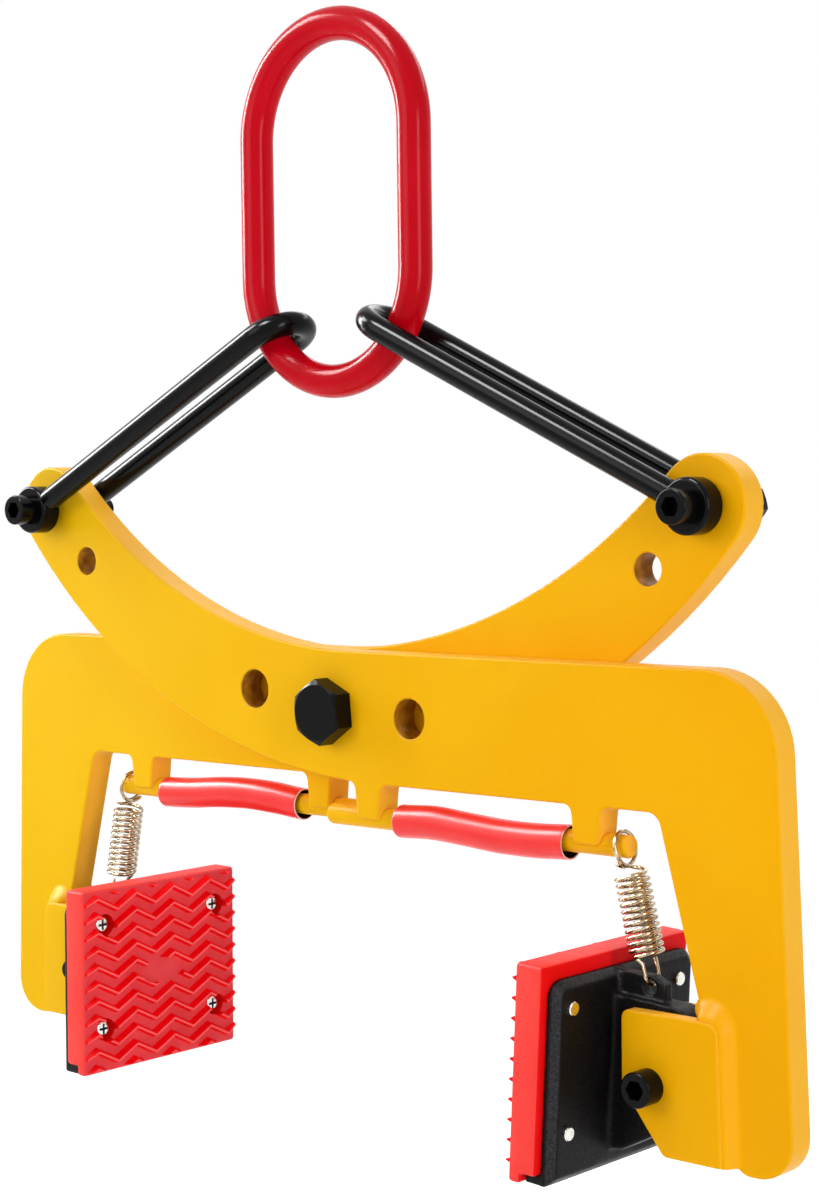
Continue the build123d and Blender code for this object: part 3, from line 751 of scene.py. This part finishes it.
def cut(piece, cutters):
    """Takes the cutters, which are closed meshes, out of the piece."""
    for bm in cutters:
        tool = new_piece("cutter", bm, [])
        modifier = piece.modifiers.new("cut", "BOOLEAN")
        modifier.operation = "DIFFERENCE"
        modifier.solver = "EXACT"
        modifier.object = tool
        apply_modifiers(piece)
        bpy.data.objects.remove(tool)


def clip(bm, z, way):
    """Cuts a mesh at a level and closes it; way is the side that goes."""
    geometry = bm.verts[:] + bm.edges[:] + bm.faces[:]
    ends = bmesh.ops.bisect_plane(
        bm, geom=geometry, plane_co=(0, 0, z), plane_no=(0, 0, way), clear_outer=True
    )
    edges = [e for e in ends["geom_cut"] if isinstance(e, bmesh.types.BMEdge)]
    bmesh.ops.edgenet_fill(bm, edges=edges)


def screw_places():
    """Y and Z of the pad's screws."""
    return [(PAD_Y + way * SCREW_Y, z) for way in (-1, 1) for z in SCREW_Z]


def from_screw(point):
    """Way from the nearest screw's axis to a point."""
    ways = (Vector((0, point.y - y, point.z - z)) for y, z in screw_places())
    return min(ways, key=lambda way: way.length)


def rib_loops(z_mid):
    """Sections of one zig-zag ridge with a narrow crest, standing on the grip face."""
    quarters = 2 * RIB_PERIODS
    half_w = PAD_W / 2 - PAD_ROUND / 2
    foot = RIB_FOOT_W / 2
    crest = [way * RIB_CREST_W / 2 - RIB_CREST_DROP for way in (-1, 1)]
    section = [(-foot, -RIB_ROOT), (crest[0], RIB_H), (crest[1], RIB_H), (foot, -RIB_ROOT)]
    loops = []
    for i in [-quarters, *range(1 - quarters, quarters, 2), quarters]:
        z = z_mid + math.sin(i * math.pi / 2) * RIB_SWING / 2
        y = PAD_Y - i * half_w / quarters
        share = RIB_END if abs(i) == quarters else 1.0
        loops.append([Vector((PAD_FACE_X - h * share, y, z + dz * share)) for dz, h in section])
    return loops


def pad_body(side):
    """The pad's block with a notch at its foot, recesses for the screw heads and holes for the shanks."""
    left, right = PAD_Y - PAD_W / 2, PAD_Y + PAD_W / 2
    block = block_mesh((PAD_FACE_X, left, PAD_BOTTOM), (PAD_BACK_X, right, PAD_TOP))
    body = new_piece(f"{side}_grip_pad", block, [PAD_FACE_SHEEN, PAD_SIDE_LIT, PAD_BACK_SHADE])
    notch_low = (PAD_BACK_X - PAD_NOTCH_X, left - OVERSHOOT, PAD_BOTTOM - OVERSHOOT)
    notch_high = (PAD_BACK_X + OVERSHOOT, right + OVERSHOOT, PAD_BOTTOM + PAD_NOTCH_H)
    cut(body, [block_mesh(notch_low, notch_high)])
    round_edges(body, PAD_ROUND, PAD_ROUND_STEPS)
    front = PAD_FACE_X - OVERSHOOT
    for radius, end in ((RECESS_R, PAD_FACE_X + RECESS_DEPTH), (SHANK_R, PAD_BACK_X + OVERSHOOT)):
        cut(body, [rod_mesh(radius, front, end, y, z) for y, z in screw_places()])
    # Painted light by the way a face looks: sheen on the grip face, light on the sides, shade on the back
    # and in the screw recesses.
    for face in body.data.polygons:
        sunk = from_screw(face.center).length < RECESS_R * RECESS_MARGIN
        if face.normal.x > PAD_FACING or sunk:
            face.material_index = BACK
        elif face.normal.x > -PAD_FACING:
            face.material_index = SIDE
        else:
            face.material_index = FACE
    return body


def pad_ribs(side):
    """The zig-zag ridges of the grip face, bare round the screws and in an oval in the middle."""
    ribs = bmesh.new()
    for row in RIB_ROWS:
        one = bmesh.new()
        loft(one, rib_loops(PAD_TOP - RIB_FIRST - row * RIB_PITCH))
        bmesh.ops.recalc_face_normals(one, faces=one.faces)
        clip(one, PAD_TOP - PAD_ROUND, 1)
        clip(one, PAD_BOTTOM + PAD_ROUND, -1)
        add_mesh(ribs, one)
    ridge = new_piece(f"{side}_pad_ribs", ribs, [PAD_FLANK_SHADE, PAD_CREST_HIGHLIGHT])
    cutter_ends = (PAD_FACE_X - 2 * RIB_H, PAD_FACE_X + RIB_H)
    tools = [rod_mesh(RECESS_R, *cutter_ends, y, z) for y, z in screw_places()]
    bare = rod_mesh(BARE_H / 2, *cutter_ends, 0, 0)
    middle = (0, PAD_Y, (PAD_TOP + PAD_BOTTOM) / 2)
    bare.transform(Matrix.Translation(middle) @ Matrix.Diagonal((1, BARE_W / BARE_H, 1, 1)))
    cut(ridge, tools + [bare])
    round_edges(ridge, RIB_ROUND, RIB_ROUND_STEPS)
    # Painted highlight on faces that look out like the crest, painted shade on the flanks.
    for face in ridge.data.polygons:
        face.material_index = CREST if face.normal.x < -RIB_CREST_FACING else FLANK
    return ridge


def pad(side):
    """Rubber pad: its block and its ridges."""
    body = pad_body(side)
    for piece in (body, pad_ribs(side)):
        seat(piece, pad_place(side), f"{side}_pad")
    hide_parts(f"{side}_pad_rubber")


# Pad screws

BRIGHT, CROSS_RECESS_SHADE = range(2)


def screws(side):
    """The cross-head screws with painted shade in their cross recesses and their ends upset to flat discs.
    """
    node = f"{side}_pad_screws"
    bm = bmesh.new()
    bm.from_mesh(frame["nodes"][node].data)
    bm.transform(pad_place(side).inverted())
    front = min(v.co.x for v in bm.verts)
    for vert in bm.verts:
        if vert.co.x > CAST_BACK_X:
            away = from_screw(vert.co)
            radius = TIP_R if away.length > TIP_R * TIP_RIM_SHARE else TIP_R - TIP_EDGE
            vert.co += away.normalized() * (radius - away.length)
            vert.co.x = CAST_BACK_X + (vert.co.x - CAST_BACK_X) * TIP_LENGTH_SHARE
    # Faces in the cross recess get painted shade.
    for face in bm.faces:
        middle = face.calc_center_median()
        sunk = CROSS_DEPTH[0] < middle.x - front < CROSS_DEPTH[1]
        face.material_index = CROSS_RECESS_SHADE if sunk and from_screw(middle).length < CROSS_REACH else BRIGHT
    piece = new_piece(f"{side}_cross_screws", bm, [SCREWS, SHADED_CROSS])
    seat(piece, pad_place(side), f"{side}_pad")
    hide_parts(node)


# Cast backings


def backing_mesh(side):
    """The casting with its screw holes filled and its side edge drawn out over the pad's."""
    bm = bmesh.new()
    bm.from_mesh(frame["nodes"][f"{side}_pad_backing"].data)
    for y, z in screw_places():
        plug = rod_mesh(CAST_FILL_R, PAD_BACK_X + CAST_VOXEL, CAST_BACK_X, y, z)
        plug.transform(pad_place(side))
        add_mesh(bm, plug)
    upright = pad_place(side).inverted()
    for vert in bm.verts:
        aside = (upright @ vert.co).y - PLATE_Y
        t = max(0.0, (aside - CAST_EDGE_Y[0]) / (CAST_EDGE_Y[1] - CAST_EDGE_Y[0]))
        vert.co.y += min(1.0, t) * CAST_LAP * (1 if side == "front" else -1)
    return bm


def mark_root(piece, upright):
    """Vertex group of the corner between the tongue and the casting's back."""
    root = piece.vertex_groups.new(name="root")
    for vert in piece.data.vertices:
        place = upright @ vert.co
        far = abs(abs(place.y - PLATE_Y) - TONGUE_T / 2) + max(0.0, place.x - CAST_BACK_X)
        if CAST_BACK_X - 2 * CAST_VOXEL < place.x and far < ROOT_REACH:
            root.add([vert.index], min(1.0, ROOT_GAIN * (1 - far / ROOT_REACH)), "REPLACE")


def backing(side):
    """The casting with its edges and corners softened, as the mould and the coat leave them."""
    piece = new_piece(f"{side}_cast_backing", backing_mesh(side), [CAST])
    skin = piece.modifiers.new("skin", "REMESH")
    skin.mode = "VOXEL"
    skin.voxel_size = CAST_VOXEL
    apply_modifiers(piece)
    mark_root(piece, pad_place(side).inverted())
    for group, steps in (("root", ROOT_SOFTEN), ("", CAST_SOFTEN)):
        soften = piece.modifiers.new("soften", "SMOOTH")
        soften.factor = SOFTEN_SHARE
        soften.iterations = steps
        soften.vertex_group = group
    apply_modifiers(piece)
    piece.data.shade_smooth()
    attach(piece, f"{side}_pad")
    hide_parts(f"{side}_pad_backing")


# Fork cheeks


def arc(centre, radius, start, end, steps):
    """Points of an arc in X and Z between two angles in degrees."""
    angles = [math.radians(between(start, end, t)) for t in shares(steps)]
    return [(centre[0] + radius * math.cos(a), centre[1] + radius * math.sin(a)) for a in angles]


def rounded(points, radii):
    """Outline in X and Z with its corners rounded."""
    outline = []
    for k, radius in enumerate(radii):
        corner = Vector(points[k])
        before = (Vector(points[k - 1]) - corner).normalized()
        after = (Vector(points[(k + 1) % len(points)]) - corner).normalized()
        if not radius:
            outline.append(tuple(corner))
            continue
        reach = radius / math.tan(before.angle(after) / 2)
        start, end = corner + before * reach, corner + after * reach
        for t in shares(CORNER_STEPS):
            outline.append(tuple(start * (1 - t) ** 2 + corner * 2 * t * (1 - t) + end * t**2))
    return outline


def weld_stations():
    """Foot line of the weld bead from its inner end: point, angle of the way out, and width."""
    top, bottom = CHEEK_Z[0], CHEEK_Z[-1]
    corner = (CHEEK_X[2] - WELD_CORNER_R, top - WELD_CORNER_R)
    stations = []
    for t in shares(WELD_STEPS):
        width = between(WELD_START_W, WELD_TOP_W, math.sin(t * math.pi / 2))
        stations.append(((WELD_START_X, top), between(WELD_START_ANGLE, WELD_TOP_ANGLE, t), width))
    bend = arc(corner, WELD_CORNER_R, WELD_TOP_ANGLE, WELD_SIDE_ANGLE, WELD_CORNER_STEPS)
    for t, point in zip(shares(WELD_CORNER_STEPS), bend):
        width = between(WELD_TOP_W, WELD_SIDE_W, ease(t))
        stations.append((point, between(WELD_TOP_ANGLE, WELD_SIDE_ANGLE, t), width))
    for t in shares(WELD_STEPS)[1:]:
        point = (between(CHEEK_X[2], CHEEK_X[3], t), between(corner[1], bottom, t))
        stations.append((point, WELD_SIDE_ANGLE, WELD_SIDE_W))
    return stations


def weld_loops(y_leg, out):
    """Sections of the bead: they start under the cheek's edge and run out on the leg."""
    height = CHEEK_T - WELD_CREASE
    loops = []
    for (x, z), angle, width in weld_stations():
        way = Vector((math.cos(math.radians(angle)), math.sin(math.radians(angle))))
        section = [(-WELD_LAP, -WELD_SINK), (-WELD_LAP, height - WELD_CREASE)]
        section += [(width * t, between(height, -WELD_SINK, ease(t))) for t in shares(WELD_SECTION_STEPS)]
        loops.append([Vector((x + way.x * d, y_leg + out * h, z + way.y * d)) for d, h in section])
    return loops


def cheek(side, which, out):
    """Fork cheek on one face of the leg, with its weld bead; out is the way off the leg along Y."""
    y_leg = PLATE_Y + out * PLATE_T / 2
    corners = [(CHEEK_X[0], CHEEK_Z[0]), (CHEEK_X[2], CHEEK_Z[0]), (CHEEK_X[3], CHEEK_Z[2])]
    corners += [(CHEEK_X[1], CHEEK_Z[2]), (CHEEK_X[0], CHEEK_Z[1])]
    outline = rounded(corners, [CHEEK_CORNER_R, WELD_CORNER_R, 0, CHEEK_CORNER_R, CHEEK_CORNER_R])
    bm = bmesh.new()
    loft(bm, [[Vector((x, y_leg + out * h, z)) for x, z in outline] for h in (0, CHEEK_T)])
    bmesh.ops.recalc_face_normals(bm, faces=bm.faces)
    piece = new_piece(f"{side}_{which}_cheek", bm, [YELLOW])
    round_edges(piece, CHEEK_ROUND, CHEEK_ROUND_STEPS)
    bm = bmesh.new()
    bm.from_mesh(piece.data)
    bead = bmesh.new()
    loft(bead, weld_loops(y_leg, out))
    tidy_skin(bead)
    add_mesh(bm, bead)
    bm.to_mesh(piece.data)
    bm.free()
    seat(piece, JAW[side], f"{side}_jaw")
    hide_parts(f"{side}_cheek_{which}")


for side in SIDES:
    sleeve(side)
    spring(side)
    pad(side)
    screws(side)
    backing(side)
    cheek(side, "outer", -1)
    cheek(side, "inner", 1)


# Stage, lamps and camera


def seen_rays(tree):
    """Factor that is 1 for the rays that show the background."""
    path = tree.nodes.new("ShaderNodeLightPath")
    either = path.outputs["Is Camera Ray"]
    for ray in ("Is Glossy Ray", "Is Transmission Ray"):
        larger = tree.nodes.new("ShaderNodeMath")
        larger.operation = "MAXIMUM"
        tree.links.new(either, larger.inputs[0])
        tree.links.new(path.outputs[ray], larger.inputs[1])
        either = larger.outputs[0]
    return either


def floor():
    """Pale floor well below the object, which glows where it is seen so that it ends in white."""
    half = FLOOR_HALF
    z = cad_box[0].z - FLOOR_DROP
    corners = [(-half, -half, z), (half, -half, z), (half, half, z), (-half, half, z)]
    bm = bmesh.new()
    bm.faces.new([bm.verts.new(c) for c in corners])
    n = Nodes("floor")
    dark, light = ((grey, grey, grey, 1.0) for grey in FLOOR_GREYS)
    n.feed(Base_Color=n.ramp(n.noise(3.0), (0.3, dark), (0.7, light)))
    n.put(Roughness=0.9, Specular_IOR_Level=0.0, Emission_Color=WHITE)
    away = n.add("ShaderNodeVectorMath", operation="LENGTH")
    n.link(n.place, away.inputs[0])
    glow = n.spread(away.outputs["Value"], *FLOOR_GLOW, *FLOOR_GLOW_REACH)
    n.feed(Emission_Strength=n.reckon("MULTIPLY", glow, seen_rays(n.tree)))
    new_piece("floor", bm, [n.material])


def lamp(name, offset, size, watts, diffuse=True, glossy=True):
    """Area lamp at an offset from the pivot, aimed at the pivot."""
    data = bpy.data.lights.new(name, "AREA")
    data.shape = "RECTANGLE"
    data.size, data.size_y = size
    data.energy = watts
    obj = bpy.data.objects.new(name, data)
    place = PIVOT + Vector(offset)
    aim = PIVOT - place
    obj.matrix_world = Matrix.Translation(place) @ aim.to_track_quat("-Z", "Y").to_matrix().to_4x4()
    obj.visible_camera = False
    obj.visible_diffuse = diffuse
    obj.visible_glossy = glossy
    bpy.context.scene.collection.objects.link(obj)


def world():
    """Soft light from all sides, and white where the background is seen."""
    scene_world = bpy.data.worlds.new("studio")
    bpy.context.scene.world = scene_world
    scene_world.use_nodes = True
    tree = scene_world.node_tree
    tree.nodes.clear()
    mix = tree.nodes.new("ShaderNodeMixShader")
    tree.links.new(seen_rays(tree), mix.inputs["Fac"])
    for k, strength in enumerate((AMBIENT, BACKGROUND)):
        light = tree.nodes.new("ShaderNodeBackground")
        light.inputs["Color"].default_value = WHITE
        light.inputs["Strength"].default_value = strength
        tree.links.new(light.outputs[0], mix.inputs[k + 1])
    output = tree.nodes.new("ShaderNodeOutputWorld")
    tree.links.new(mix.outputs[0], output.inputs["Surface"])


def camera():
    """Camera a little above the level of its target, rolled a little."""
    level_x = math.sin(CAMERA_AZIMUTH) * math.cos(CAMERA_ELEVATION)
    level_y = -math.cos(CAMERA_AZIMUTH) * math.cos(CAMERA_ELEVATION)
    back = Vector((level_x, level_y, math.sin(CAMERA_ELEVATION)))
    right = Vector((0, 0, 1)).cross(back).normalized()
    up = back.cross(right)
    level = Matrix((right, up, back)).transposed().to_4x4()
    data = bpy.data.cameras.new("camera")
    data.sensor_fit = "VERTICAL"
    data.sensor_height = SENSOR_MM
    data.lens = SENSOR_MM * FOCAL_PIXELS / IMAGE_HEIGHT
    data.clip_start = CAMERA_CLIP
    obj = bpy.data.objects.new("camera", data)
    place = Matrix.Translation(CAMERA_TARGET + back * CAMERA_DISTANCE)
    obj.matrix_world = place @ level @ Matrix.Rotation(CAMERA_ROLL, 4, "Z")
    bpy.context.scene.collection.objects.link(obj)
    bpy.context.scene.camera = obj


floor()
world()
lamp("key", (-0.4, -1.15, 0.5), (0.7, 0.7), 5.0)
lamp("fill", (0.84, -0.28, 0.16), (0.2, 0.45), 2.8)
lamp("left_strip", (-0.98, -0.24, 0.3), (0.1, 0.9), 6.0)
lamp("over_strip", (-0.25, 0.1, 0.95), (0.9, 0.07), 3.6, glossy=False)
lamp("back_strip", (-0.1, 0.85, 0.7), (1.2, 0.15), 2.2)
lamp("back_fill", (-0.35, 1.2, 0.4), (0.7, 0.7), 3.4, glossy=False)
lamp("link_glint", (-0.11, -0.6, 0.91), (0.35, 0.28), 19.0, diffuse=False)
lamp("sleeve_glint", (-0.7, -0.35, 0.7), (0.3, 0.3), 9.0, diffuse=False)
lamp("left_glint", (-0.93, -0.21, 0.42), (0.3, 0.42), 10.0, diffuse=False)
camera()
bpy.context.scene.view_settings.view_transform = "Standard"
